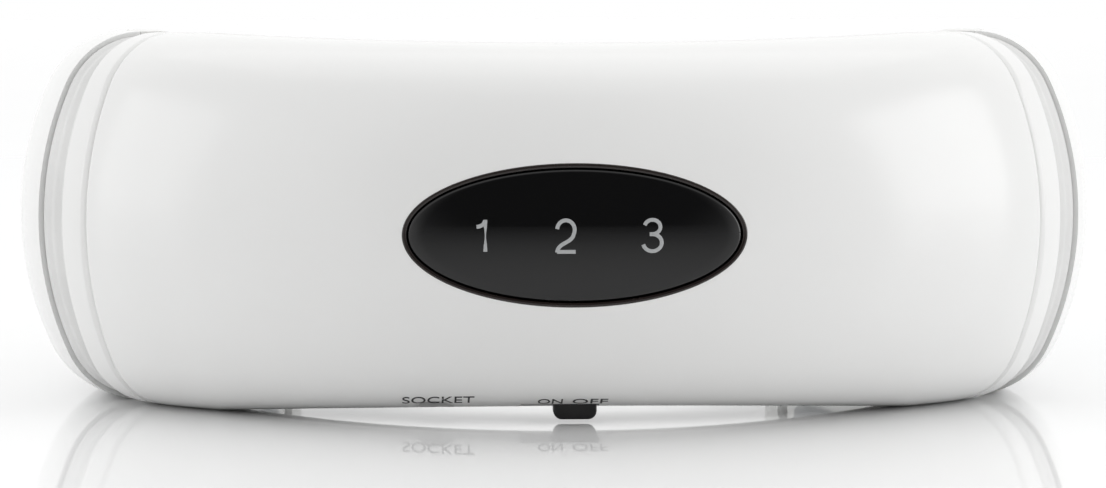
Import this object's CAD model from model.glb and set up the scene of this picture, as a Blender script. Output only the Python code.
"""Neck massager: shells, window, switch, electrodes, flexible joints and arms, on a pale floor."""

import math

import bmesh
import bpy
from mathutils import Matrix, Vector


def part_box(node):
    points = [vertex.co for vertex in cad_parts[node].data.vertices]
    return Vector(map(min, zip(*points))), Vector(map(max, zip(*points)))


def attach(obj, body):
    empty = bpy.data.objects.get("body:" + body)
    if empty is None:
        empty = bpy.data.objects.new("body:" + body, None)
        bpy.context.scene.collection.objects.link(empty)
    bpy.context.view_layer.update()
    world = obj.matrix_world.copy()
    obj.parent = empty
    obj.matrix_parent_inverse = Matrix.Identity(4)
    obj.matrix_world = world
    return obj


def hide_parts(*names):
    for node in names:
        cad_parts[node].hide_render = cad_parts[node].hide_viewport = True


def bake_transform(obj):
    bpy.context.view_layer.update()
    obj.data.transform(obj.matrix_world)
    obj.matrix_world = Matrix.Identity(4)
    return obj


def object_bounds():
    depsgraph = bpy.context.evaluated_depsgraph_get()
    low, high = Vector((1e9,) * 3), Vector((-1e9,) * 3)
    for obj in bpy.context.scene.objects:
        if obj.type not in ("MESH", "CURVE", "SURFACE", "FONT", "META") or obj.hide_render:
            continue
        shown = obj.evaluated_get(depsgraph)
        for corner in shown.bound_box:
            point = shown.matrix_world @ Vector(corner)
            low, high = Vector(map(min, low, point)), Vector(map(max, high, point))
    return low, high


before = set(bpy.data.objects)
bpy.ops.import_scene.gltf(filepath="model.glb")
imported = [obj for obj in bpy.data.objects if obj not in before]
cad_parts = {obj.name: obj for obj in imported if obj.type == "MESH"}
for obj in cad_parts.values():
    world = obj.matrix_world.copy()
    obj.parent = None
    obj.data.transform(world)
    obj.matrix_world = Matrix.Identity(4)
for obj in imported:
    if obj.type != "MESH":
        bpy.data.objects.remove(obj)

bl_info = {
    "name": "Neck Massager",
    "version": (1, 0, 0),
    "blender": (4, 5, 0),
    "location": "View3D > Sidebar > Massager",
    "description": "Builds the visible pieces of a horseshoe neck massager on its frame",
    "category": "Object",
}

MM = 0.001
BOX_LOW, BOX_HIGH = [Vector(corner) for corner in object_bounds()]

# The frame's own sizes, in millimetres
WIDTH = round((BOX_HIGH.x - BOX_LOW.x) / MM, 2)
HEIGHT = round((BOX_HIGH.z - BOX_LOW.z) / MM, 2)
TIP_Y = round(BOX_HIGH.y / MM, 1)
NAPE_Y = -TIP_Y
MID = HEIGHT / 2

# The section, crown at depth 0
CROWN_DEPTH = 15.0
NECK_DEPTH = 11.0
THICK = CROWN_DEPTH + NECK_DEPTH
END_R = 12.0
END_Z = MID - END_R
CROWN_R = (CROWN_DEPTH ** 2 + END_Z ** 2 - END_R ** 2) / (2 * (CROWN_DEPTH - END_R))
CROWN_HALF = math.atan2(END_Z, CROWN_R - CROWN_DEPTH)
CORNER_R = 8.0
WALL = 2.2
SEAM = 0.1

# The plan: nape arc, side arcs and arm arcs
JOIN = math.asin(0.6)
OFFSET_R = round(0.344 * WIDTH)
SIDE_R = WIDTH / 2 - 0.6 * OFFSET_R
NAPE_R = SIDE_R + OFFSET_R
SIDE_X = 0.6 * OFFSET_R
SIDE_Y = NAPE_Y + NAPE_R - 0.8 * OFFSET_R
ARM_R = 220.0
ARM_MID_R = ARM_R - THICK / 2
ARM_X = WIDTH / 2 - ARM_R
TIP_ANGLE = math.asin((TIP_Y - THICK / 2 - SIDE_Y) / ARM_MID_R)
TIP_SIDE_R = MID + 3.6
ARM_SLOPE = math.radians(5.2)
SLOPE_Y = SIDE_Y + 3

# The underside's arch and the top's dip
SADDLE_HALF = 46.7
ARCH_RISE = 1.9
TOP_DIP = 1.0

NAPE_C = Vector((0, NAPE_Y + NAPE_R, MID))
SIDE_C = Vector((SIDE_X, SIDE_Y, MID))
ARM_C = Vector((ARM_X, SIDE_Y, MID))

# The electrodes' turn about the nape arc, and the depth of the leads in the wall
ELECTRODE_TURN = math.radians(23)
LEAD_DEPTH = 7

# The arms' middle, keys and battery pocket
ARM_MIDDLE = math.radians(10.4)
KEY_PITCH = 12.5
POCKET_LENGTH = 52.0
POCKET_HEIGHT = 26.4

# Stations along each side arc, in degrees from straight ahead
COVER_END = 48.8
RIM_START, RIM_END = 49.05, 56.2
JOINT_START, JOINT_END = 56.6, 65.7
ARM_START = 66.1

SIDES = (("left", -1), ("right", 1))


def deg(angle):
    return math.radians(angle)


# ---------- outlines ----------


def arc(bm, vert, centre, angle, steps, axis=(1, 0, 0)):
    """Draws an arc of edges from a vertex and returns the arc's last vertex."""
    made = bmesh.ops.spin(
        bm, geom=[vert], cent=centre, axis=axis, dvec=(0, 0, 0),
        angle=angle, steps=steps, use_merge=False,
    )
    return next(g for g in made["geom_last"] if isinstance(g, bmesh.types.BMVert))


def line(bm, vert, move, steps=1):
    """Draws a straight run of edges from a vertex and returns its last vertex."""
    made = bmesh.ops.spin(
        bm, geom=[vert], cent=(0, 0, 0), axis=(1, 0, 0),
        dvec=Vector(move) / steps, angle=0, steps=steps, use_merge=False,
    )
    return next(g for g in made["geom_last"] if isinstance(g, bmesh.types.BMVert))


def outer_outline(bm, inset=0.0, start=None):
    """Outer half of the section at x = 0, from its top edge over the crown to its bottom edge."""
    y = NAPE_Y + CROWN_DEPTH
    vert = start or bm.verts.new((0, y, MID * 2 - inset))
    vert = arc(bm, vert, (0, y, MID + END_Z), math.pi / 2 - CROWN_HALF, 14)
    vert = arc(bm, vert, (0, NAPE_Y + CROWN_R, MID), 2 * CROWN_HALF, 26)
    return arc(bm, vert, (0, y, MID - END_Z), math.pi / 2 - CROWN_HALF, 14)


def inner_outline(bm, inset=0.0, parting=0.0, start=None):
    """Neck-side half of the section at x = 0, from its bottom edge round to its top edge."""
    corner_y = NAPE_Y + THICK - CORNER_R
    y = NAPE_Y + CROWN_DEPTH + parting
    vert = start or bm.verts.new((0, y, inset))
    vert = line(bm, vert, (0, corner_y - y, 0), 2)
    vert = arc(bm, vert, (0, corner_y, CORNER_R), math.pi / 2, 10)
    vert = line(bm, vert, (0, 0, HEIGHT - 2 * CORNER_R), 16)
    vert = arc(bm, vert, (0, corner_y, HEIGHT - CORNER_R), math.pi / 2, 10)
    return line(bm, vert, (0, y - corner_y, 0), 2)


def whole_outline(bm, inset=0.0):
    """The whole section at x = 0 as one closed loop of edges."""
    inner_outline(bm, inset, start=outer_outline(bm, inset))
    bmesh.ops.remove_doubles(bm, verts=bm.verts, dist=0.01)


# ---------- sweeps ----------


def turn(bm, geom, angle, centre):
    verts = [g for g in geom if isinstance(g, bmesh.types.BMVert)]
    bmesh.ops.rotate(bm, verts=verts, cent=centre, matrix=Matrix.Rotation(angle, 3, "Z"))


def sweep(bm, geom, angle, centre, steps):
    """Spins an outline about an upright axis and returns the last outline."""
    made = bmesh.ops.spin(
        bm, geom=geom, cent=centre, axis=(0, 0, 1), dvec=(0, 0, 0),
        angle=angle, steps=steps, use_merge=False,
    )
    return made["geom_last"]


def all_of(bm):
    return list(bm.verts) + list(bm.edges)


def housing_strip(outline, cover_end):
    """Half of the housing's surface, from its middle to its right end, mirrored to the left."""
    bm = bmesh.new()
    outline(bm)
    last = sweep(bm, all_of(bm), JOIN, NAPE_C, 40)
    sweep(bm, last, cover_end - JOIN, SIDE_C, 16)
    bmesh.ops.mirror(
        bm, geom=all_of(bm) + list(bm.faces),
        matrix=Matrix.Identity(4), merge_dist=0.01, axis="X",
    )
    return bm


def side_strip(outline, start, end, steps):
    """A surface swept along the right side arc between two angles."""
    bm = bmesh.new()
    outline(bm)
    geom = all_of(bm)
    turn(bm, geom, JOIN, NAPE_C)
    turn(bm, geom, start - JOIN, SIDE_C)
    sweep(bm, geom, end - start, SIDE_C, steps)
    return bm


def arm_strip(outline, start, reach):
    """A surface swept from the side arc onto the right arm's arc."""
    bm = bmesh.new()
    outline(bm)
    geom = all_of(bm)
    turn(bm, geom, JOIN, NAPE_C)
    turn(bm, geom, start - JOIN, SIDE_C)
    last = sweep(bm, geom, math.pi / 2 - start, SIDE_C, 24)
    sweep(bm, last, reach, ARM_C, 64)
    return bm


def join_in(bm, other):
    """Adds another mesh to this one."""
    mesh = bpy.data.meshes.new("part")
    other.to_mesh(mesh)
    other.free()
    bm.from_mesh(mesh)
    bpy.data.meshes.remove(mesh)


def close_wall(bm):
    """Joins the free edges of an outer and an inner surface, which closes the wall between them."""
    free = [e for e in bm.edges if e.is_boundary]
    bmesh.ops.bridge_loops(bm, edges=free)
    bmesh.ops.recalc_face_normals(bm, faces=bm.faces)


def round_sharp(bm, width, segments=2, angle=40):
    """Rounds every edge that turns by more than the angle."""
    sharp = [e for e in bm.edges if len(e.link_faces) == 2 and e.calc_face_angle() > deg(angle)]
    bmesh.ops.bevel(
        bm, geom=sharp, offset=width, offset_type="OFFSET", segments=segments,
        profile=0.5, affect="EDGES", clamp_overlap=True, material=-1,
    )


# ---------- the housing's curved face ----------


def saddle(x, high):
    """Height share left at x by the dip of the top, or by the arch of the underside."""
    drop = TOP_DIP if high else ARCH_RISE
    radius = (SADDLE_HALF ** 2 + drop ** 2) / (2 * drop)
    if abs(x) >= SADDLE_HALF:
        return 1.0
    sag = drop - (radius - math.sqrt(radius ** 2 - x * x))
    return (MID - sag) / MID


def dip_saddle(bm):
    for vert in bm.verts:
        if vert.co.y < SIDE_Y:
            high = vert.co.z > MID
            vert.co.z = MID + (vert.co.z - MID) * saddle(vert.co.x, high)


def depth_at(height):
    """Depth of the outer outline below its crown, at a height from the middle."""
    height = abs(height)
    if height < CROWN_R * math.sin(CROWN_HALF):
        return CROWN_R - math.sqrt(CROWN_R ** 2 - height ** 2)
    return CROWN_DEPTH - math.sqrt(max(END_R ** 2 - (height - END_Z) ** 2, 0))


def on_face(x, z, lift=0.0):
    """Point of the housing's outer face above (x, z), raised by lift."""
    height = (z - MID) / saddle(x, z > MID)
    radius = NAPE_R - depth_at(height) + lift
    return Vector((x, NAPE_Y + NAPE_R - math.sqrt(radius ** 2 - x * x), z))


def on_fillet(x, run, lift=0.0):
    """Point at x on the outer face, a run along the section below its middle."""
    first = CROWN_R * CROWN_HALF
    if run < first:
        depth = CROWN_R - (CROWN_R + lift) * math.cos(run / CROWN_R)
        height = (CROWN_R + lift) * math.sin(run / CROWN_R)
    else:
        bend = CROWN_HALF + (run - first) / END_R
        depth = CROWN_DEPTH - (END_R + lift) * math.cos(bend)
        height = END_Z + (END_R + lift) * math.sin(bend)
    radius = NAPE_R - depth
    z = MID - height * saddle(x, False)
    return Vector((x, NAPE_Y + NAPE_R - math.sqrt(radius ** 2 - x * x), z))


# ---------- pieces ----------


def piece(name, bm, finish, body, node=None, scale=MM, sharp=35):
    """Turns a mesh in millimetres into a finished piece that rides on a body."""
    bmesh.ops.scale(bm, vec=(scale, scale, scale), verts=bm.verts)
    mesh = bpy.data.meshes.new(name)
    bm.to_mesh(mesh)
    bm.free()
    obj = bpy.data.objects.new(name, mesh)
    bpy.context.scene.collection.objects.link(obj)
    mesh.materials.append(finish)
    smooth(mesh, sharp)
    if body:
        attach(obj, body)
    if node:
        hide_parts(*([node] if isinstance(node, str) else node))
    return obj


def smooth(mesh, sharp=35):
    for face in mesh.polygons:
        face.use_smooth = True
    mesh.set_sharp_from_angle(angle=deg(sharp))


def carve(bm, cutters, operation="DIFFERENCE"):
    """Applies solids to a mesh, all in millimetres, and returns the new mesh."""
    scene = bpy.context.scene.collection
    mesh = bpy.data.meshes.new("carved")
    bm.to_mesh(mesh)
    bm.free()
    obj = bpy.data.objects.new("carved", mesh)
    scene.objects.link(obj)
    tools = []
    for cutter in cutters:
        tool_mesh = bpy.data.meshes.new("tool")
        bmesh.ops.recalc_face_normals(cutter, faces=cutter.faces)
        cutter.to_mesh(tool_mesh)
        cutter.free()
        tool = bpy.data.objects.new("tool", tool_mesh)
        scene.objects.link(tool)
        tools.append(tool)
        cut = obj.modifiers.new("cut", "BOOLEAN")
        cut.operation = operation
        cut.solver = "EXACT"
        cut.object = tool
    bpy.context.view_layer.update()
    graph = bpy.context.evaluated_depsgraph_get()
    done = bpy.data.meshes.new_from_object(obj.evaluated_get(graph))
    out = bmesh.new()
    out.from_mesh(done)
    for item in [obj] + tools:
        data = item.data
        bpy.data.objects.remove(item)
        bpy.data.meshes.remove(data)
    bpy.data.meshes.remove(done)
    bmesh.ops.dissolve_degenerate(out, dist=0.001, edges=out.edges)
    if not out.faces:
        raise RuntimeError("a cut left nothing of the piece")
    return out


def flip_left(bm, side):
    if side < 0:
        bmesh.ops.scale(bm, vec=(-1, 1, 1), verts=bm.verts)
        bmesh.ops.reverse_faces(bm, faces=bm.faces)
    return bm


def block(size, centre, matrix=Matrix.Identity(4)):
    bm = bmesh.new()
    bmesh.ops.create_cube(bm, size=1)
    bmesh.ops.scale(bm, vec=size, verts=bm.verts)
    bmesh.ops.translate(bm, vec=centre, verts=bm.verts)
    bmesh.ops.transform(bm, matrix=matrix, verts=bm.verts)
    return bm


def rod(radius, low, high, matrix=Matrix.Identity(4), segments=64, top=None):
    """Upright cylinder or cone between two heights of its own frame."""
    bm = bmesh.new()
    bmesh.ops.create_cone(
        bm, cap_ends=True, segments=segments, radius1=radius,
        radius2=radius if top is None else top, depth=high - low,
    )
    bmesh.ops.translate(bm, vec=(0, 0, (high + low) / 2), verts=bm.verts)
    bmesh.ops.transform(bm, matrix=matrix, verts=bm.verts)
    return bm


def electrode_frame():
    return (Matrix.Translation(NAPE_C) @ Matrix.Rotation(ELECTRODE_TURN, 4, "Z")
            @ Matrix.Rotation(math.pi / 2, 4, "X"))


def arm_frame():
    return (Matrix.Translation(ARM_C) @ Matrix.Rotation(ARM_MIDDLE, 4, "Z")
            @ Matrix.Translation((ARM_MID_R, 0, 0)))


# ---------- finishes ----------


def hex_colour(code):
    """Linear colour from a hex code."""
    parts = [int(code[i:i + 2], 16) / 255 for i in (0, 2, 4)]
    return tuple(p / 12.92 if p <= 0.04045 else ((p + 0.055) / 1.055) ** 2.4 for p in parts) + (1,)


def set_range(node, first, last, low, high):
    """Maps first..last to low..high on a Map Range node."""
    for key, number in (("From Min", first), ("From Max", last), ("To Min", low), ("To Max", high)):
        node.inputs[key].default_value = number


class Finish:
    """A node material with its colour, roughness and bump driven by grain on Object coordinates."""

    def __init__(self, name):
        self.mat = bpy.data.materials.new(name)
        self.mat.use_nodes = True
        self.tree = self.mat.node_tree
        self.shader = self.tree.nodes["Principled BSDF"]
        self.place = self.add("ShaderNodeTexCoord").outputs["Object"]

    def add(self, kind, **values):
        node = self.tree.nodes.new(kind)
        for key, value in values.items():
            if hasattr(node, key):
                setattr(node, key, value)
            else:
                node.inputs[key.replace("_", " ")].default_value = value
        return node

    def link(self, out, into):
        self.tree.links.new(out, into)

    def set(self, **values):
        for key, value in values.items():
            self.shader.inputs[key.replace("_", " ")].default_value = value
        return self

    def stretched(self, scale):
        mapping = self.add("ShaderNodeMapping")
        mapping.inputs["Scale"].default_value = scale
        self.link(self.place, mapping.inputs["Vector"])
        return mapping.outputs["Vector"]

    def noise(self, scale, detail=3.0, place=None, roughness=0.55):
        node = self.add("ShaderNodeTexNoise", Scale=scale, Detail=detail, Roughness=roughness)
        self.link(place or self.place, node.inputs["Vector"])
        return node.outputs["Fac"]

    def spread(self, value, low, high, first=0.3, last=0.7):
        node = self.add("ShaderNodeMapRange")
        set_range(node, first, last, low, high)
        self.link(value, node.inputs["Value"])
        return node.outputs["Result"]

    def blend(self, value, one, two):
        node = self.add("ShaderNodeMix", data_type="RGBA")
        ends = {"A": one, "B": two}
        for socket in node.inputs:
            if socket.type == "RGBA":
                socket.default_value = ends[socket.name]
        self.link(value, node.inputs["Factor"])
        return next(o for o in node.outputs if o.type == "RGBA")

    def colour(self, value, one, two):
        self.link(self.blend(value, one, two), self.shader.inputs["Base Color"])
        return self

    def rough(self, value, low, high, first=0.3, last=0.7):
        self.link(self.spread(value, low, high, first, last), self.shader.inputs["Roughness"])
        return self

    def bump(self, value, strength, distance):
        node = self.add("ShaderNodeBump", Strength=strength, Distance=distance)
        self.link(value, node.inputs["Height"])
        self.link(node.outputs["Normal"], self.shader.inputs["Normal"])
        return self


def tint(code, share):
    """A colour a little darker than the code."""
    return tuple(c * share for c in hex_colour(code)[:3]) + (1,)


def moulded(name, code, low, high, grain=1400, bump=0.04, shade=0.95, coat=0.0):
    """Moulded plastic: faint flow marks in its colour, fine skin in its gloss and surface."""
    f = Finish(name)
    f.colour(f.spread(f.noise(26, 2), 0, 1), tint(code, shade), hex_colour(code))
    f.rough(f.noise(240, 4), low, high)
    f.bump(f.noise(grain, 2), bump, 0.0002)
    f.set(Coat_Weight=coat, Coat_Roughness=0.06)
    return f.mat


def metal(name, code, low, high, streak=(40, 40, 1800), bump=0.15):
    """Worked metal with fine streaks along one direction."""
    f = Finish(name)
    lines = f.noise(1.0, 4, f.stretched(streak), 0.7)
    f.colour(f.spread(lines, 0, 1), tint(code, 0.86), hex_colour(code))
    f.rough(lines, low, high)
    f.bump(lines, bump, 0.00005)
    f.set(Metallic=1.0)
    return f.mat


def rubber(name, code, low=0.5, high=0.62):
    f = Finish(name)
    f.colour(f.spread(f.noise(60, 3), 0, 1), tint(code, 0.9), hex_colour(code))
    f.rough(f.noise(400, 3), low, high)
    f.bump(f.noise(2600, 2), 0.12, 0.0002)
    return f.mat


def gloss_white(name, code):
    """Polished white plastic with faint flow marks and hairline handling marks in its gloss."""
    f = Finish(name)
    f.colour(f.spread(f.noise(18, 2), 0, 1), tint(code, 0.975), hex_colour(code))
    marks = f.noise(1.0, 6, f.stretched((260, 260, 2200)), 0.75)
    f.rough(marks, 0.16, 0.23, 0.35, 0.75)
    f.bump(f.noise(520, 2), 0.015, 0.0003)
    f.set(Specular_IOR_Level=0.5)
    return f.mat


def window_glass(name, code):
    f = Finish(name)
    f.colour(f.spread(f.noise(40, 2), 0, 1), tint(code, 0.7), hex_colour(code))
    f.rough(f.noise(900, 4), 0.035, 0.075)
    f.bump(f.noise(90, 1), 0.01, 0.0002)
    f.set(Coat_Weight=0.0, Specular_IOR_Level=0.5)
    return f.mat


def circuit_green(name):
    f = Finish(name)
    tracks = f.add("ShaderNodeTexBrick", Scale=420.0)
    f.link(f.place, tracks.inputs["Vector"])
    tracks.inputs["Color1"].default_value = hex_colour("1c5a34")
    tracks.inputs["Color2"].default_value = hex_colour("17492a")
    tracks.inputs["Mortar"].default_value = hex_colour("2f7c4b")
    f.link(tracks.outputs["Color"], f.shader.inputs["Base Color"])
    f.rough(f.noise(700, 3), 0.28, 0.4)
    f.bump(tracks.outputs["Fac"], 0.1, 0.0001)
    return f.mat


def cushion_cloth(name, code):
    """Close knit over foam, as crossed ribs with a soft nap."""
    f = Finish(name)
    waves = []
    for direction in ("Z", "Y"):
        wave = f.add("ShaderNodeTexWave", wave_type="BANDS", bands_direction=direction,
                     Scale=560.0, Distortion=0.6, Detail=1.0)
        f.link(f.place, wave.inputs["Vector"])
        waves.append(wave.outputs["Fac"])
    knit = f.add("ShaderNodeMath", operation="MULTIPLY")
    f.link(waves[0], knit.inputs[0])
    f.link(waves[1], knit.inputs[1])
    f.colour(knit.outputs["Value"], tint(code, 0.72), hex_colour(code))
    f.rough(f.noise(300, 3), 0.8, 0.92)
    f.bump(knit.outputs["Value"], 0.35, 0.0002)
    f.set(Sheen_Weight=0.35, Sheen_Roughness=0.4)
    return f.mat


def glow(name, code, strength, low=0.3, high=0.4):
    """Lit or printed mark with a little light of its own."""
    f = Finish(name)
    colour = f.blend(f.spread(f.noise(200, 2), 0, 1), tint(code, 0.93), hex_colour(code))
    f.link(colour, f.shader.inputs["Base Color"])
    f.link(colour, f.shader.inputs["Emission Color"])
    f.set(Emission_Strength=strength)
    f.rough(f.noise(500, 2), low, high)
    return f.mat


def cell_wrap(name, code):
    f = Finish(name)
    f.colour(f.spread(f.noise(50, 3), 0, 1), tint(code, 0.85), hex_colour(code))
    f.rough(f.noise(200, 3), 0.22, 0.34)
    f.bump(f.noise(300, 3), 0.05, 0.0002)
    f.set(Metallic=0.4)
    return f.mat


FINISHES = {}


def finish(key):
    """Makes each finish once, the first time that it is asked for."""
    if key not in FINISHES:
        colours = bpy.context.scene.massager_colours
        makers = {
            "shell": lambda: gloss_white("shell_white", colours.shell_code),
            "inner": lambda: moulded("inner_white", colours.inner_code, 0.3, 0.42, 900, 0.05),
            "rim": lambda: gloss_white("rim_white", colours.shell_code),
            "joint": lambda: rubber("joint_white", colours.joint_code, 0.38, 0.5),
            "window": lambda: window_glass("window_black", colours.window_code),
            "bezel": lambda: moulded("bezel_brown", "1d1411", 0.2, 0.3, 1800, 0.03),
            "digit": lambda: glow("digit_grey", colours.digit_code, 0.0),
            "label": lambda: moulded("label_black", "141414", 0.4, 0.5),
            "knob": lambda: moulded("knob_black", "0d0d0e", 0.32, 0.45, 2200, 0.1),
            "socket": lambda: moulded("socket_black", "161618", 0.35, 0.5),
            "steel": lambda: metal("electrode_steel", "c9ccd0", 0.18, 0.34),
            "seal": lambda: rubber("seal_grey", colours.seal_code),
            "cushion": lambda: cushion_cloth("cushion_grey", colours.cushion_code),
            "key": lambda: rubber("key_grey", colours.key_code, 0.42, 0.55),
            "mark": lambda: moulded("mark_white", "f2f2f0", 0.4, 0.5),
            "lead_red": lambda: rubber("lead_red", "b3221d", 0.35, 0.45),
            "lead_grey": lambda: rubber("lead_grey", "84868a", 0.35, 0.45),
        }
        FINISHES[key] = makers[key]()
    return FINISHES[key]


def inner_finishes():
    """Finish for each node that the frame carries over."""
    steel = metal("plated_steel", "b9bdc2", 0.25, 0.4, (300, 300, 900))
    spring = metal("spring_wire", "aab0b6", 0.22, 0.36, (1200, 1200, 200))
    hinge = metal("hinge_zinc", "9fa4a8", 0.35, 0.5, (500, 500, 500))
    black = moulded("socket_black", "161618", 0.35, 0.5)
    return {
        "light_guide": moulded("guide_black", "202022", 0.55, 0.7, 700, 0.1),
        "indicator_leds": glow("led_amber", "f0c460", 0.2),
        "main_board": circuit_green("board_green"),
        "key_board": circuit_green("key_board_green"),
        "control_chip": moulded("chip_black", "18181a", 0.5, 0.65, 3000, 0.1),
        "buzzer": moulded("buzzer_black", "1b1b1d", 0.35, 0.5, 1500, 0.08),
        "pulse_transformer": moulded("ferrite_tape", "b98b2c", 0.4, 0.55, 800, 0.1),
        "capacitors": moulded("capacitor_sleeve", "22345c", 0.3, 0.4, 800, 0.05),
        "lead_connectors": moulded("connector_ivory", "e4dcc6", 0.35, 0.5),
        "switch_body": metal("switch_case", "b4b8bc", 0.3, 0.45, (600, 600, 300)),
        "output_socket": black,
        "electrode_clip": hinge,
        "electrode_spring": spring,
        "hinge_bracket": hinge,
        "hinge_leaf": hinge,
        "hinge_pin": steel,
        "hinge_spring": spring,
        "cover_screws": steel,
        "arm_screws": steel,
        "battery_cells": cell_wrap("cell_wrap", "cf6d22"),
        "battery_contacts": metal("contact_nickel", "c8c2b0", 0.2, 0.35, (900, 300, 300)),
        "battery_springs": spring,
        "key_domes": metal("dome_steel", "c4c8cc", 0.15, 0.28, (800, 800, 800)),
    }


# ---------- sizes and colours ----------


class MassagerSizes(bpy.types.PropertyGroup):
    window_width: bpy.props.FloatProperty(
        name="Window width", description="Width of the oval display window",
        default=44.4 * MM, unit="LENGTH")
    window_height: bpy.props.FloatProperty(
        name="Window height", description="Height of the oval display window",
        default=18.4 * MM, unit="LENGTH")
    window_level: bpy.props.FloatProperty(
        name="Window level", description="Height of the window's middle above the ground",
        default=25.45 * MM, unit="LENGTH")
    digit_height: bpy.props.FloatProperty(
        name="Digit height", description="Height of the numbers in the window",
        default=4.5 * MM, unit="LENGTH")
    label_height: bpy.props.FloatProperty(
        name="Label height", description="Height of the letters by the switch",
        default=2.2 * MM, unit="LENGTH")
    knob_width: bpy.props.FloatProperty(
        name="Knob width", description="Width of the switch knob",
        default=5.7 * MM, unit="LENGTH")
    edge_round: bpy.props.FloatProperty(
        name="Edge rounding", description="Rounding of the shells' edges",
        default=0.35 * MM, unit="LENGTH")


class MassagerColours(bpy.types.PropertyGroup):
    shell_code: bpy.props.StringProperty(
        name="Shell", description="Colour of the glossy shells, as a hex code", default="f4f4f3")
    inner_code: bpy.props.StringProperty(
        name="Neck side", description="Colour of the shells on the neck side", default="eeeeec")
    joint_code: bpy.props.StringProperty(
        name="Joints", description="Colour of the flexible joints", default="e9e9e8")
    window_code: bpy.props.StringProperty(
        name="Window", description="Colour of the display window", default="050506")
    digit_code: bpy.props.StringProperty(
        name="Digits", description="Colour of the numbers", default="b4b6b7")
    seal_code: bpy.props.StringProperty(
        name="Seals", description="Colour of the electrode seals", default="b9bbbd")
    cushion_code: bpy.props.StringProperty(
        name="Cushions", description="Colour of the arm cushions", default="c6c8ca")
    key_code: bpy.props.StringProperty(
        name="Keys", description="Colour of the three keys", default="6d7074")


def sizes():
    return bpy.context.scene.massager_sizes


# ---------- operators ----------


class MASSAGER_OT_stage(bpy.types.Operator):
    """Sets the pale floor, the soft lights and the camera"""

    bl_idname = "massager.stage"
    bl_label = "Stage"

    def execute(self, context):
        build_stage(context.scene)
        return {"FINISHED"}


class MASSAGER_OT_covers(bpy.types.Operator):
    """Builds the outer and the neck-side cover of the nape housing"""

    bl_idname = "massager.covers"
    bl_label = "Nape covers"

    def execute(self, context):
        build_outer_cover()
        build_inner_cover()
        return {"FINISHED"}


class MASSAGER_OT_rims(bpy.types.Operator):
    """Builds the rims at the ends of the housing"""

    bl_idname = "massager.rims"
    bl_label = "End rims"

    def execute(self, context):
        for name, side in SIDES:
            build_rim(name, side)
        return {"FINISHED"}


class MASSAGER_OT_window(bpy.types.Operator):
    """Builds the oval window, its bezel and its numbers"""

    bl_idname = "massager.window"
    bl_label = "Display window"

    def execute(self, context):
        build_window()
        return {"FINISHED"}


class MASSAGER_OT_switch(bpy.types.Operator):
    """Builds the switch knob and the lettering along the lower edge"""

    bl_idname = "massager.switch"
    bl_label = "Switch and lettering"

    def execute(self, context):
        build_knob()
        build_labels()
        return {"FINISHED"}


class MASSAGER_OT_electrodes(bpy.types.Operator):
    """Builds the sprung electrodes and their seals"""

    bl_idname = "massager.electrodes"
    bl_label = "Electrodes"

    def execute(self, context):
        for name, side in SIDES:
            build_electrode(name, side)
        return {"FINISHED"}


class MASSAGER_OT_joints(bpy.types.Operator):
    """Builds the flexible joints and the leads that cross them"""

    bl_idname = "massager.joints"
    bl_label = "Flexible joints"

    def execute(self, context):
        for name, side in SIDES:
            build_joint(name, side)
            build_leads(side)
        return {"FINISHED"}


class MASSAGER_OT_arms(bpy.types.Operator):
    """Builds the arm shells, the battery cover and the keys"""

    bl_idname = "massager.arms"
    bl_label = "Arms"

    def execute(self, context):
        build_left_arm()
        build_right_arm()
        for name, side in SIDES:
            build_arm_inner(name, side)
        return {"FINISHED"}


class MASSAGER_OT_cushions(bpy.types.Operator):
    """Builds the cushions on the neck side of the arms"""

    bl_idname = "massager.cushions"
    bl_label = "Arm cushions"

    def execute(self, context):
        for name, side in SIDES:
            build_cushion(name, side)
        return {"FINISHED"}


class MASSAGER_OT_inner(bpy.types.Operator):
    """Gives the pieces carried over from the frame their finishes"""

    bl_idname = "massager.inner"
    bl_label = "Inner pieces"

    def execute(self, context):
        finish_inner()
        return {"FINISHED"}


class MASSAGER_PT_panel(bpy.types.Panel):
    bl_label = "Neck Massager"
    bl_idname = "MASSAGER_PT_panel"
    bl_space_type = "VIEW_3D"
    bl_region_type = "UI"
    bl_category = "Massager"

    def draw(self, context):
        layout = self.layout
        for group in (context.scene.massager_sizes, context.scene.massager_colours):
            box = layout.box()
            for key in group.__annotations__:
                box.prop(group, key)
        for operator in OPERATORS:
            layout.operator(operator.bl_idname)


# ---------- housing ----------


def shell_of(outline, cover_end, depth=WALL):
    """Housing shell with a wall between an outline and the same outline inset."""
    bm = housing_strip(lambda b: outline(b, 0.0), cover_end)
    join_in(bm, housing_strip(lambda b: outline(b, depth), cover_end))
    close_wall(bm)
    dip_saddle(bm)
    return bm


def along_y(x, z, y=0.0):
    """Frame whose own z runs into the housing from the nape face."""
    return Matrix.Translation((x, y, z)) @ Matrix.Rotation(-math.pi / 2, 4, "X")


def oval(width, height, low, high, x, z):
    bm = rod(0.5, low, high, segments=160)
    bmesh.ops.scale(bm, vec=(width, height, 1), verts=bm.verts)
    bmesh.ops.transform(bm, matrix=along_y(x, z), verts=bm.verts)
    return bm


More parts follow.
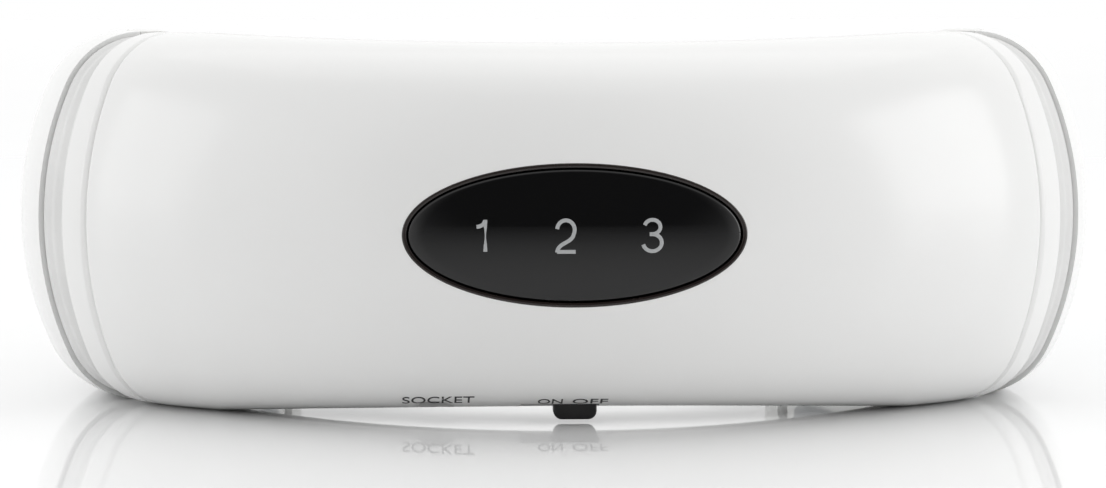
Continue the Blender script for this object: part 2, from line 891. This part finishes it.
def build_outer_cover():
    s = sizes()
    bm = shell_of(outer_outline, deg(COVER_END))
    round_sharp(bm, s.edge_round / MM, 3)
    socket_x, socket_y = -17.6, NAPE_Y + CROWN_DEPTH - 1.4
    slot_x, slot_y = 0.5 - 2, NAPE_Y + CROWN_DEPTH - 2.2
    window_w, window_h = s.window_width / MM, s.window_height / MM
    cutters = [
        oval(window_w + 0.1, window_h + 0.1, NAPE_Y - 1, NAPE_Y + 8, 0, s.window_level / MM),
        block((s.knob_width / MM + 4.6, 3.6, 8), (slot_x, slot_y, 3)),
        rod(2.5, -1, 6.5, Matrix.Translation((socket_x, socket_y, 0))),
        rod(3.1, -1, 2.8, Matrix.Translation((socket_x, socket_y, 0)), top=2.3),
    ]
    bm = carve(bm, cutters)
    piece("outer_cover_shell", bm, finish("shell"), "housing", "outer_cover")


def build_inner_cover():
    bm = shell_of(lambda b, inset: inner_outline(b, inset, SEAM), deg(COVER_END))
    round_sharp(bm, 0.3, 2)
    cutters = []
    for side in (-1, 1):
        for z in (MID - 16.3, MID + 16.3):
            cutters.append(rod(2.4, -50, 0, along_y(side * 36, z), 48))
        cutters.append(flip_left(stadium(33, 45, 60.4, 69.4, electrode_frame()), side))
    bm = carve(bm, cutters)
    piece("inner_cover_shell", bm, finish("inner"), "housing", "inner_cover")


def stadium(width, height, low, high, matrix=Matrix.Identity(4), segments=64):
    bm = rod(width / 2, low, high, segments=segments)
    top = [v for v in bm.verts if v.co.y > 1e-4]
    bottom = [v for v in bm.verts if v.co.y < -1e-4]
    bmesh.ops.translate(bm, vec=(0, (height - width) / 2, 0), verts=top)
    bmesh.ops.translate(bm, vec=(0, (width - height) / 2, 0), verts=bottom)
    bmesh.ops.transform(bm, matrix=matrix, verts=bm.verts)
    return bm


def step_in(bm, amount):
    """Moves each vertex of a swept tube towards the section's middle by amount(angle)."""
    for vert in bm.verts:
        offset = vert.co - SIDE_C
        angle = math.degrees(math.atan2(offset.x, -offset.y))
        radius = math.hypot(offset.x, offset.y)
        inset = amount(angle)
        middle = SIDE_R - THICK / 2
        new_radius = middle + (radius - middle) * (1 - inset / (THICK / 2))
        vert.co.x = SIDE_C.x + offset.x / radius * new_radius
        vert.co.y = SIDE_C.y + offset.y / radius * new_radius
        vert.co.z = MID + offset.z * (1 - inset / MID)


def curve_through(points):
    """Smooth function through (angle, value) pairs."""
    def value(angle):
        if angle <= points[0][0]:
            return points[0][1]
        for (a0, v0), (a1, v1) in zip(points, points[1:]):
            if angle <= a1:
                t = (angle - a0) / (a1 - a0)
                return v0 + (v1 - v0) * t * t * (3 - 2 * t)
        return points[-1][1]
    return value


def tube(start, end, steps, wall, profile):
    """Hollow length of the whole section along the side arc, shaped by a profile of its angle."""
    bm = side_strip(whole_outline, deg(start), deg(end), steps)
    step_in(bm, profile)
    inner = side_strip(whole_outline, deg(start), deg(end), steps)
    step_in(inner, lambda angle: wall)
    join_in(bm, inner)
    for at in (start, end):
        ring = []
        for edge in bm.edges:
            if edge.is_boundary:
                offset = (edge.verts[0].co + edge.verts[1].co) / 2 - SIDE_C
                if abs(math.degrees(math.atan2(offset.x, -offset.y)) - at) < 0.5:
                    ring.append(edge)
        bmesh.ops.bridge_loops(bm, edges=ring)
    bmesh.ops.recalc_face_normals(bm, faces=bm.faces)
    return bm


def build_rim(name, side):
    soft = curve_through([
        (RIM_START, 0.9), (RIM_START + 0.45, 0.3), (RIM_START + 1.5, 0.0), (RIM_END, 0.0)])
    bm = tube(RIM_START, RIM_END, 26, 3.0, soft)
    round_sharp(bm, 0.28, 3, 50)
    flip_left(bm, side)
    piece(f"end_rim_shell_{name}", bm, finish("rim"), "housing", f"end_rim_{name}")


# ---------- window ----------


def build_window():
    s = sizes()
    half_w, half_h = s.window_width / MM / 2 - 0.5, s.window_height / MM / 2 - 0.5
    level = s.window_level / MM

    # The lens is drawn ring by ring from its buried edge to its middle
    edge = [(0.0, -1.8, 1), (0.0, -0.75, 1), (0.03, -0.5, 1), (0.14, -0.3, 1), (0.32, -0.17, 1),
            (0.6, -0.1, 1)]
    middle = [(0.6, -0.08, 1 - step / 14) for step in range(1, 14)]
    bm = bmesh.new()
    oval_rings(bm, half_w, half_h, level, edge + middle)
    piece("window_lens", bm, finish("window"), "housing", "display_window")

    bm = bmesh.new()
    oval_rings(bm, half_w, half_h, level, [
        (-0.6, -0.4, 1), (-0.6, 0.0, 1), (-0.52, 0.07, 1), (-0.38, 0.09, 1), (-0.2, 0.05, 1),
        (-0.05, -0.05, 1), (-0.02, -0.3, 1), (-0.02, -1.6, 1)], fill=False)
    piece("window_bezel", bm, finish("bezel"), "housing")

    for text, x in (("1", -11.65), ("2", -1.35), ("3", 9.85)):
        bm = numeral(text, s.digit_height / MM)
        for vert in bm.verts:
            vert.co = on_face(x + vert.co.x, level + vert.co.y, -0.07 + vert.co.z)
        piece(f"digit_{text}", bm, finish("digit"), "housing", sharp=60)


def bow(x, y, across, up, first, last, steps=14):
    """Points of an oval arc in shares of a numeral's height."""
    return [(x + across * math.cos(deg(first + (last - first) * i / steps)),
             y + up * math.sin(deg(first + (last - first) * i / steps))) for i in range(steps + 1)]


NUMERALS = {
    "1": [bow(0.06, 0.96, 0.24, 0.2, -90, -5, 8), [(0.31, 0.96), (0.31, 0.05)]],
    "2": [bow(0.31, 0.68, 0.25, 0.27, 175, -15) + bow(0.05, 0.62, 0.5, 0.35, -22, -50, 6)
          + bow(0.44, 0.02, 0.38, 0.30, 128, 178, 6), [(0.06, 0.05), (0.59, 0.05)]],
    "3": [bow(0.3, 0.745, 0.23, 0.205, 165, -90) + [(0.22, 0.54)],
          bow(0.3, 0.295, 0.27, 0.245, 90, -168)],
}


def take_curve(bm, curve):
    """Adds a curve's surface to a mesh and removes the curve."""
    obj = bpy.data.objects.new(curve.name, curve)
    bpy.context.scene.collection.objects.link(obj)
    bpy.context.view_layer.update()
    mesh = bpy.data.meshes.new_from_object(obj)
    bm.from_mesh(mesh)
    bpy.data.objects.remove(obj)
    bpy.data.curves.remove(curve)
    bpy.data.meshes.remove(mesh)


def numeral(text, height, weight=0.055):
    """Numeral drawn with a flat stroke of even weight, its middle at the origin."""
    bm = bmesh.new()
    for path in NUMERALS[text]:
        curve = bpy.data.curves.new("stroke", "CURVE")
        curve.dimensions = "3D"
        curve.bevel_depth = weight
        curve.bevel_resolution = 3
        curve.use_fill_caps = True
        line_of = curve.splines.new("POLY")
        line_of.points.add(len(path) - 1)
        for point, (x, y) in zip(line_of.points, path):
            point.co = (x - 0.3, y - 0.5, 0, 1)
        take_curve(bm, curve)
    bmesh.ops.scale(bm, vec=(height, height, 0.045 / weight), verts=bm.verts)
    bmesh.ops.recalc_face_normals(bm, faces=bm.faces)
    return bm


def oval_rings(bm, half_w, half_h, level, profile, fill=True, segments=192):
    """Oval piece drawn ring by ring; each ring has an inset, a lift off the face and a share."""
    bmesh.ops.create_circle(bm, cap_ends=False, segments=segments, radius=1)
    angles = {vert: math.atan2(vert.co.y, vert.co.x) for vert in bm.verts}
    edges = list(bm.edges)
    for number, (inset, lift, share) in enumerate(profile):
        if number:
            made = bmesh.ops.extrude_edge_only(bm, edges=edges)["geom"]
            fresh = {g for g in made if isinstance(g, bmesh.types.BMVert)}
            edges = [g for g in made if isinstance(g, bmesh.types.BMEdge)
                     and fresh.issuperset(g.verts)]
            angles = {vert: next(angles[e.other_vert(vert)] for e in vert.link_edges
                                 if e.other_vert(vert) in angles) for vert in fresh}
        for vert, angle in angles.items():
            x = (half_w - inset) * share * math.cos(angle)
            z = level + (half_h - inset) * share * math.sin(angle)
            vert.co = on_face(x, z, lift)
    if fill:
        bmesh.ops.contextual_create(bm, geom=edges)
    bmesh.ops.recalc_face_normals(bm, faces=bm.faces)


def lettering(text, height, thickness, spacing=1.0):
    """Text as a solid mesh in millimetres, its capitals as tall as height."""
    curve = bpy.data.curves.new("lettering", "FONT")
    curve.body = text
    curve.resolution_u = 6
    curve.space_character = spacing
    curve.size = 1.0
    bm = bmesh.new()
    take_curve(bm, curve)
    low = min(v.co.y for v in bm.verts)
    high = max(v.co.y for v in bm.verts)
    bmesh.ops.remove_doubles(bm, verts=bm.verts, dist=1e-5)
    bmesh.ops.scale(bm, vec=[height / (high - low)] * 3, verts=bm.verts)
    bmesh.ops.translate(bm, vec=(0, -(low + high) / 2 * height / (high - low), 0), verts=bm.verts)
    made = bmesh.ops.extrude_face_region(bm, geom=list(bm.faces))["geom"]
    bmesh.ops.translate(
        bm, vec=(0, 0, thickness), verts=[g for g in made if isinstance(g, bmesh.types.BMVert)])
    bmesh.ops.recalc_face_normals(bm, faces=bm.faces)
    return bm


# ---------- switch ----------


def build_knob():
    s = sizes()
    box_low, box_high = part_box("switch_knob")
    low, high = Vector(box_low) / MM, Vector(box_high) / MM
    width = s.knob_width / MM
    centre = (low + high) / 2
    foot_z = 7.2
    bm = block((width, 3, foot_z - low.z), (centre.x, centre.y, (foot_z + low.z) / 2))
    corners = [e for e in bm.edges if max(v.co.z for v in e.verts) < low.z + 0.01
               and abs(e.verts[0].co.x - e.verts[1].co.x) < 0.01]
    bmesh.ops.bevel(bm, geom=corners, offset=1.1, segments=5, profile=0.5,
                    affect="EDGES", material=-1)
    round_sharp(bm, 0.28, 3, 50)
    piece("switch_knob_cap", bm, finish("knob"), "power_slider", "switch_knob")
    stem = block((1.6, 1.6, 3.0), (centre.x, centre.y, foot_z + 1.2))
    round_sharp(stem, 0.15, 1)
    piece("switch_knob_stem", stem, finish("knob"), "power_slider")


def build_labels():
    s = sizes()
    height = s.label_height / MM
    for name, text, x, run, width, tall in (
            ("label_socket", "SOCKET", -17.5, 26.3, 9.4, 1.0),
            ("label_on", "ON", -2.85, 27.2, 3.25, 0.85),
            ("label_off", "OFF", 2.4, 27.2, 4.65, 0.85)):
        bm = lettering(text, height * tall, 0.05)
        left, right = min(v.co.x for v in bm.verts), max(v.co.x for v in bm.verts)
        for vert in bm.verts:
            across = x + (vert.co.x - (left + right) / 2) * width / (right - left)
            vert.co = on_fillet(across, run - vert.co.y, vert.co.z - 0.01)
        piece(name, bm, finish("label"), "housing", sharp=60)


# ---------- electrodes ----------


def build_electrode(name, side):
    bm = stadium(26, 38, 63.9, 67.1, segments=96)
    dome_r = 120
    plate = [f for f in bm.faces if f.normal.z < -0.5 and all(v.co.z < 64 for v in f.verts)]
    for thickness in (1.2, 1.6, 3, 3, 3):
        bmesh.ops.inset_region(bm, faces=plate, thickness=thickness, use_even_offset=True)
    for vert in bm.verts:
        if vert.co.z < 64:
            reach = math.hypot(vert.co.x, vert.co.y)
            vert.co.z += dome_r - math.sqrt(dome_r ** 2 - reach ** 2)
    rim = [e for e in bm.edges if e.calc_face_angle() > deg(50)]
    bmesh.ops.bevel(bm, geom=rim, offset=0.5, segments=4, profile=0.5, affect="EDGES", material=-1)
    stem = rod(3, 66, 79.1, segments=48)
    join_in(bm, stem)
    bmesh.ops.transform(bm, matrix=electrode_frame(), verts=bm.verts)
    flip_left(bm, side)
    bmesh.ops.recalc_face_normals(bm, faces=bm.faces)
    piece(f"electrode_plate_{name}", bm, finish("steel"), f"electrode_{name}_body",
          f"electrode_{name}")

    bm = stadium(32.4, 44.4, 66.8, 69.3, segments=96)
    inner = stadium(27, 39, 60, 75, segments=96)
    bm = carve(bm, [inner])
    rim = [e for e in bm.edges if e.calc_face_angle() > deg(50)]
    bmesh.ops.bevel(bm, geom=rim, offset=0.7, segments=4, profile=0.5, affect="EDGES", material=-1)
    bmesh.ops.transform(bm, matrix=electrode_frame(), verts=bm.verts)
    flip_left(bm, side)
    bmesh.ops.recalc_face_normals(bm, faces=bm.faces)
    piece(f"electrode_ring_{name}", bm, finish("seal"), "housing",
          f"electrode_seal_{name}")


# ---------- flexible joints and leads ----------


def build_joint(name, side):
    neck = curve_through([
        (JOINT_START, 2.8), (JOINT_START + 1.2, 2.7), (60.5, 1.9), (63.0, 1.15), (64.8, 0.7),
        (JOINT_END - 0.2, 0.6), (JOINT_END, 1.0)])
    bm = tube(JOINT_START, JOINT_END, 60, 4.4, neck)
    flip_left(bm, side)
    obj = piece(f"flexible_sleeve_{name}", bm, finish("joint"), None,
                f"flexible_joint_{name}")
    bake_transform(obj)


def build_leads(side):
    node = "battery_leads" if side < 0 else "key_leads"
    reach = 1.6 if side < 0 else 4.0
    joined = bmesh.new()
    for drop in (8.6, 10.6):
        bm = bmesh.new()
        bmesh.ops.create_circle(bm, cap_ends=False, segments=16, radius=0.8)
        bmesh.ops.rotate(bm, verts=bm.verts, cent=(0, 0, 0),
                         matrix=Matrix.Rotation(math.pi / 2, 3, "Y"))
        bmesh.ops.translate(bm, vec=(0, NAPE_Y + LEAD_DEPTH, MID - drop), verts=bm.verts)
        geom = all_of(bm)
        start = math.asin((board_half() - 0.9) / (NAPE_R - LEAD_DEPTH))
        turn(bm, geom, start, NAPE_C)
        last = sweep(bm, geom, JOIN - start, NAPE_C, 12)
        last = sweep(bm, last, math.pi / 2 - JOIN, SIDE_C, 48)
        sweep(bm, last, deg(reach), ARM_C, 6)
        bmesh.ops.holes_fill(bm, edges=bm.edges, sides=0)
        join_in(joined, bm)
    flip_left(joined, side)
    bmesh.ops.recalc_face_normals(joined, faces=joined.faces)
    key = "lead_red" if side < 0 else "lead_grey"
    obj = piece(f"{node}_pair", joined, finish(key), None, node)
    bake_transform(obj)


def board_half():
    return (NAPE_R - 10) * math.sin(ELECTRODE_TURN) - 1.35 * 4.5


# ---------- arms ----------


def shape_arm(bm, end):
    """Slopes the arm's top down and draws its end in to a rounded tip that closes at an angle."""
    start_height = math.sqrt(TIP_SIDE_R ** 2 - MID ** 2)
    length = TIP_SIDE_R - start_height
    for vert in bm.verts:
        past = max(vert.co.y - SLOPE_Y, 0)
        if vert.co.z > MID:
            drop = math.tan(ARM_SLOPE) * past * past / (past + 4)
            vert.co.z = MID + (vert.co.z - MID) * (MID - drop) / MID
        offset = vert.co - ARM_C
        angle = math.atan2(offset.y, offset.x)
        run = (angle - end) * ARM_MID_R + length
        if vert.co.y < SIDE_Y or run <= 0:
            continue
        share = min(run / length, 1.0)
        high = math.sqrt(max(TIP_SIDE_R ** 2 - (start_height + share * length) ** 2, 0))
        radius = math.hypot(offset.x, offset.y)
        radius = ARM_MID_R + (radius - ARM_MID_R) * math.sqrt(max(1 - share ** 2.2, 0))
        vert.co.x = ARM_C.x + radius * math.cos(angle)
        vert.co.y = ARM_C.y + radius * math.sin(angle)
        vert.co.z = MID + (vert.co.z - MID) * high / MID
    bmesh.ops.remove_doubles(bm, verts=bm.verts, dist=0.01)


def arm_shell(outline):
    """Arm shell between an outline and the same outline inset, closed to a rounded tip."""
    reach = TIP_ANGLE + (THICK / 2) / ARM_MID_R
    bm = arm_strip(lambda b: outline(b, 0.0), deg(ARM_START), reach)
    shape_arm(bm, reach)
    inner = arm_strip(lambda b: outline(b, WALL), deg(ARM_START), reach - WALL / ARM_MID_R)
    shape_arm(inner, reach - WALL / ARM_MID_R)
    join_in(bm, inner)
    close_wall(bm)
    return bm


def pocket_block(grow, low=2.0, high=30.0):
    length = POCKET_LENGTH + 2 * grow
    height = POCKET_HEIGHT + 2 * grow
    bm = block((high - low, length, height), ((high + low) / 2, 0, 0))
    edges = [e for e in bm.edges if abs(e.verts[0].co.x - e.verts[1].co.x) > 1]
    bmesh.ops.bevel(bm, geom=edges, offset=2.0 + grow, segments=6, profile=0.5,
                    affect="EDGES", material=-1)
    bmesh.ops.transform(bm, matrix=arm_frame(), verts=bm.verts)
    return bm


def build_left_arm():
    bm = arm_shell(outer_outline)
    lid = bm.copy()
    bm = carve(bm, [pocket_block(0.3)])
    flip_left(bm, -1)
    piece("arm_shell_left", bm, finish("shell"), "arm_left_body", "arm_outer_left")

    lid = carve(lid, [pocket_block(0.0)], "INTERSECT")
    grips = []
    for y in (-3, 0, 3):
        grips.append(rod(0.9, -7, 7, arm_frame() @ Matrix.Translation((12.9, 16 + y, 0)), 24))
    lid = carve(lid, grips)
    for y in (-0.3, 0.3):
        hook_at = (8.5, y * POCKET_LENGTH, POCKET_HEIGHT / 2 - WALL)
        hook = block((2.6, 4, 1.6), hook_at, arm_frame())
        round_sharp(hook, 0.2, 2)
        join_in(lid, hook)
    flip_left(lid, -1)
    piece("battery_lid_shell", lid, finish("shell"), "battery_lid", "battery_cover")


def key_frame(row):
    return (arm_frame() @ Matrix.Translation((0, row * KEY_PITCH, 0))
            @ Matrix.Rotation(math.pi / 2, 4, "Y"))


def build_right_arm():
    bm = arm_shell(outer_outline)
    cutters = [rod(4.3, 2, 30, key_frame(row), 64) for row in (-1, 0, 1)]
    cutters += [rod(4.15, 12.4, 13.3, key_frame(row), 64, top=4.9) for row in (-1, 0, 1)]
    bm = carve(bm, cutters)
    piece("arm_shell_right", bm, finish("shell"), "arm_right_body",
          "arm_outer_right")
    for node, body, row in (("weaker_key", "weaker_button", -1), ("mode_key", "mode_button", 0),
                            ("stronger_key", "stronger_button", 1)):
        build_key(node, body, row)


def build_key(node, body, row):
    bm = rod(4.0, 6.0, 13.7, segments=64)
    top = [f for f in bm.faces if f.normal.z > 0.9]
    for thickness, sink in ((0.9, -0.12), (1.2, -0.12), (1.0, -0.04)):
        bmesh.ops.inset_region(bm, faces=top, thickness=thickness, depth=sink)
    rim = [e for e in bm.edges if e.calc_face_angle() > deg(40)]
    bmesh.ops.bevel(bm, geom=rim, offset=0.4, segments=4, profile=0.5, affect="EDGES", material=-1)
    flange = rod(5.2, 5.6, 6.6, segments=64)
    join_in(bm, flange)
    bmesh.ops.transform(bm, matrix=key_frame(row), verts=bm.verts)
    piece(f"{node}_cap", bm, finish("key"), body, node)
    marks = [block((0.55, 2.6, 0.1), (0, 0, 13.46), key_frame(row))]
    if node == "stronger_key":
        marks.append(block((2.6, 0.55, 0.1), (0, 0, 13.46), key_frame(row)))
    if node == "mode_key":
        ring = rod(1.5, 13.41, 13.51, key_frame(row), 48)
        marks = [carve(ring, [rod(1.0, 13, 14, key_frame(row), 48)])]
    bm = marks[0]
    for other in marks[1:]:
        join_in(bm, other)
    piece(f"{node}_mark", bm, finish("mark"), body)


def build_arm_inner(name, side):
    bm = arm_shell(lambda b, inset: inner_outline(b, inset, SEAM))
    frame_at = arm_frame()
    cutters = [
        rod(1.9, -20, 0, frame_at @ Matrix.Translation((0, 27.75, z * (MID - 11.2)))
            @ Matrix.Rotation(math.pi / 2, 4, "Y"), 32)
        for z in (-1, 1)]
    bm = carve(bm, cutters)
    flip_left(bm, side)
    piece(f"arm_inner_shell_{name}", bm, finish("inner"), f"arm_{name}_body",
          f"arm_inner_{name}")


def build_cushion(name, side):
    """Crowned pad on the arm's neck side, its edges drawn in between the corners."""
    bm = bmesh.new()
    bmesh.ops.create_cube(bm, size=2)
    bmesh.ops.subdivide_edges(bm, edges=bm.edges, cuts=23, use_grid_fill=True)
    first, last = 2.5, math.degrees(TIP_ANGLE) - 2.5
    for vert in bm.verts:
        a, b, c = vert.co
        along = a * (1 - 0.018 * (1 - b * b)) * (1 - 0.05 * b * b * a * a)
        across = b * (1 - 0.02 * (1 - a * a)) * (1 - 0.08 * a ** 8)
        fullness = (1 - abs(a) ** 6) * (1 - abs(b) ** 6)
        angle = deg((first + last) / 2 + along * (last - first) / 2)
        height = MID + across * (MID - CORNER_R - 0.6)
        if c < 0:
            inward = THICK - 0.5 + 0.85 * (1 + c) / 2
        else:
            inward = THICK + 0.35 + 1.0 * max(fullness, 0) ** 0.5 * c
        radius = ARM_R - inward
        vert.co = Vector((ARM_C.x + radius * math.cos(angle), ARM_C.y + radius * math.sin(angle),
                          height))
    bmesh.ops.recalc_face_normals(bm, faces=bm.faces)
    flip_left(bm, side)
    obj = piece(f"cushion_{name}", bm, finish("cushion"), f"arm_{name}_body",
                f"arm_pad_{name}", sharp=70)


# ---------- carried-over pieces ----------


def finish_inner():
    table = inner_finishes()
    for node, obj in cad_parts.items():
        if obj.hide_render:
            continue
        key = next((k for k in table if node == k or node in (f"{k}_left", f"{k}_right")), None)
        if key is None:
            raise RuntimeError(f"{node} has no finish")
        if not obj.material_slots:
            obj.data.materials.append(table[key])
        for place in obj.material_slots:
            place.material = table[key]


# ---------- stage ----------


def area_light(name, energy, size, place, aim, colour=(1, 1, 1)):
    data = bpy.data.lights.new(name, "AREA")
    data.energy = energy
    data.shape = "RECTANGLE"
    data.size, data.size_y = size
    data.color = colour
    obj = bpy.data.objects.new(name, data)
    obj.location = place
    obj.rotation_euler = (Vector(aim) - Vector(place)).to_track_quat("-Z", "Y").to_euler()
    bpy.context.scene.collection.objects.link(obj)
    return obj


def build_stage(scene):
    f = Finish("floor_white")
    f.colour(f.spread(f.noise(3, 2), 0, 1), hex_colour("f6f7f8"), hex_colour("fbfbfb"))
    f.rough(f.noise(8, 2), 0.03, 0.045)
    f.set(Specular_IOR_Level=0.5)
    bm = bmesh.new()
    bmesh.ops.create_grid(bm, x_segments=2, y_segments=2, size=3)
    mesh = bpy.data.meshes.new("floor")
    bm.to_mesh(mesh)
    bm.free()
    mesh.materials.append(f.mat)
    floor = bpy.data.objects.new("floor", mesh)
    scene.collection.objects.link(floor)

    world = bpy.data.worlds.new("studio")
    world.use_nodes = True
    nodes, links = world.node_tree.nodes, world.node_tree.links
    # A white room, dim on the side that the nape face looks at
    place = nodes.new("ShaderNodeTexCoord")
    facing = nodes.new("ShaderNodeVectorMath")
    facing.operation = "DOT_PRODUCT"
    facing.inputs[1].default_value = Vector((0.05, -1, 0.3)).normalized()
    links.new(place.outputs["Generated"], facing.inputs[0])
    level = nodes.new("ShaderNodeMapRange")
    level.interpolation_type = "SMOOTHSTEP"
    set_range(level, 0.7, 0.93, 1.0, 0.1)
    links.new(facing.outputs["Value"], level.inputs["Value"])
    back = nodes["Background"]
    back.inputs["Color"].default_value = (1, 1, 1, 1)
    links.new(level.outputs["Result"], back.inputs["Strength"])
    scene.world = world
    scene.view_settings.view_transform = "Standard"

    area_light("top", 1.35, (1.2, 0.8), (0, 0.15, 0.95), (0, 0, 0))
    area_light("left", 1.3, (0.5, 0.6), (-0.95, -0.2, 0.3), (0, 0, 0.03))
    area_light("right", 2.2, (0.5, 0.6), (0.92, -0.3, 0.3), (0, 0, 0.03))

    # The camera turns a little to the left about the widest part of the body
    sway = deg(-2.8)
    distance = 0.5575
    data = bpy.data.cameras.new("camera")
    data.lens = 128.15
    data.sensor_width = 36
    data.clip_start = 0.01
    camera = bpy.data.objects.new("camera", data)
    camera.location = (math.sin(sway) * distance, SIDE_Y * MM - math.cos(sway) * distance, 0.062)
    camera.rotation_euler = (math.pi / 2 - deg(4.27), 0, sway + deg(0.034))
    scene.collection.objects.link(camera)
    scene.camera = camera


# ---------- run ----------

OPERATORS = (
    MASSAGER_OT_stage, MASSAGER_OT_covers, MASSAGER_OT_rims, MASSAGER_OT_window,
    MASSAGER_OT_switch, MASSAGER_OT_electrodes, MASSAGER_OT_joints, MASSAGER_OT_arms,
    MASSAGER_OT_cushions, MASSAGER_OT_inner,
)
CLASSES = (MassagerSizes, MassagerColours) + OPERATORS + (MASSAGER_PT_panel,)


def register():
    for cls in CLASSES:
        bpy.utils.register_class(cls)
    bpy.types.Scene.massager_sizes = bpy.props.PointerProperty(type=MassagerSizes)
    bpy.types.Scene.massager_colours = bpy.props.PointerProperty(type=MassagerColours)


def unregister():
    del bpy.types.Scene.massager_colours
    del bpy.types.Scene.massager_sizes
    for cls in reversed(CLASSES):
        bpy.utils.unregister_class(cls)


def main():
    register()
    for operator in OPERATORS:
        group, name = operator.bl_idname.split(".")
        getattr(getattr(bpy.ops, group), name)()


if __name__ == "__main__":
    main()
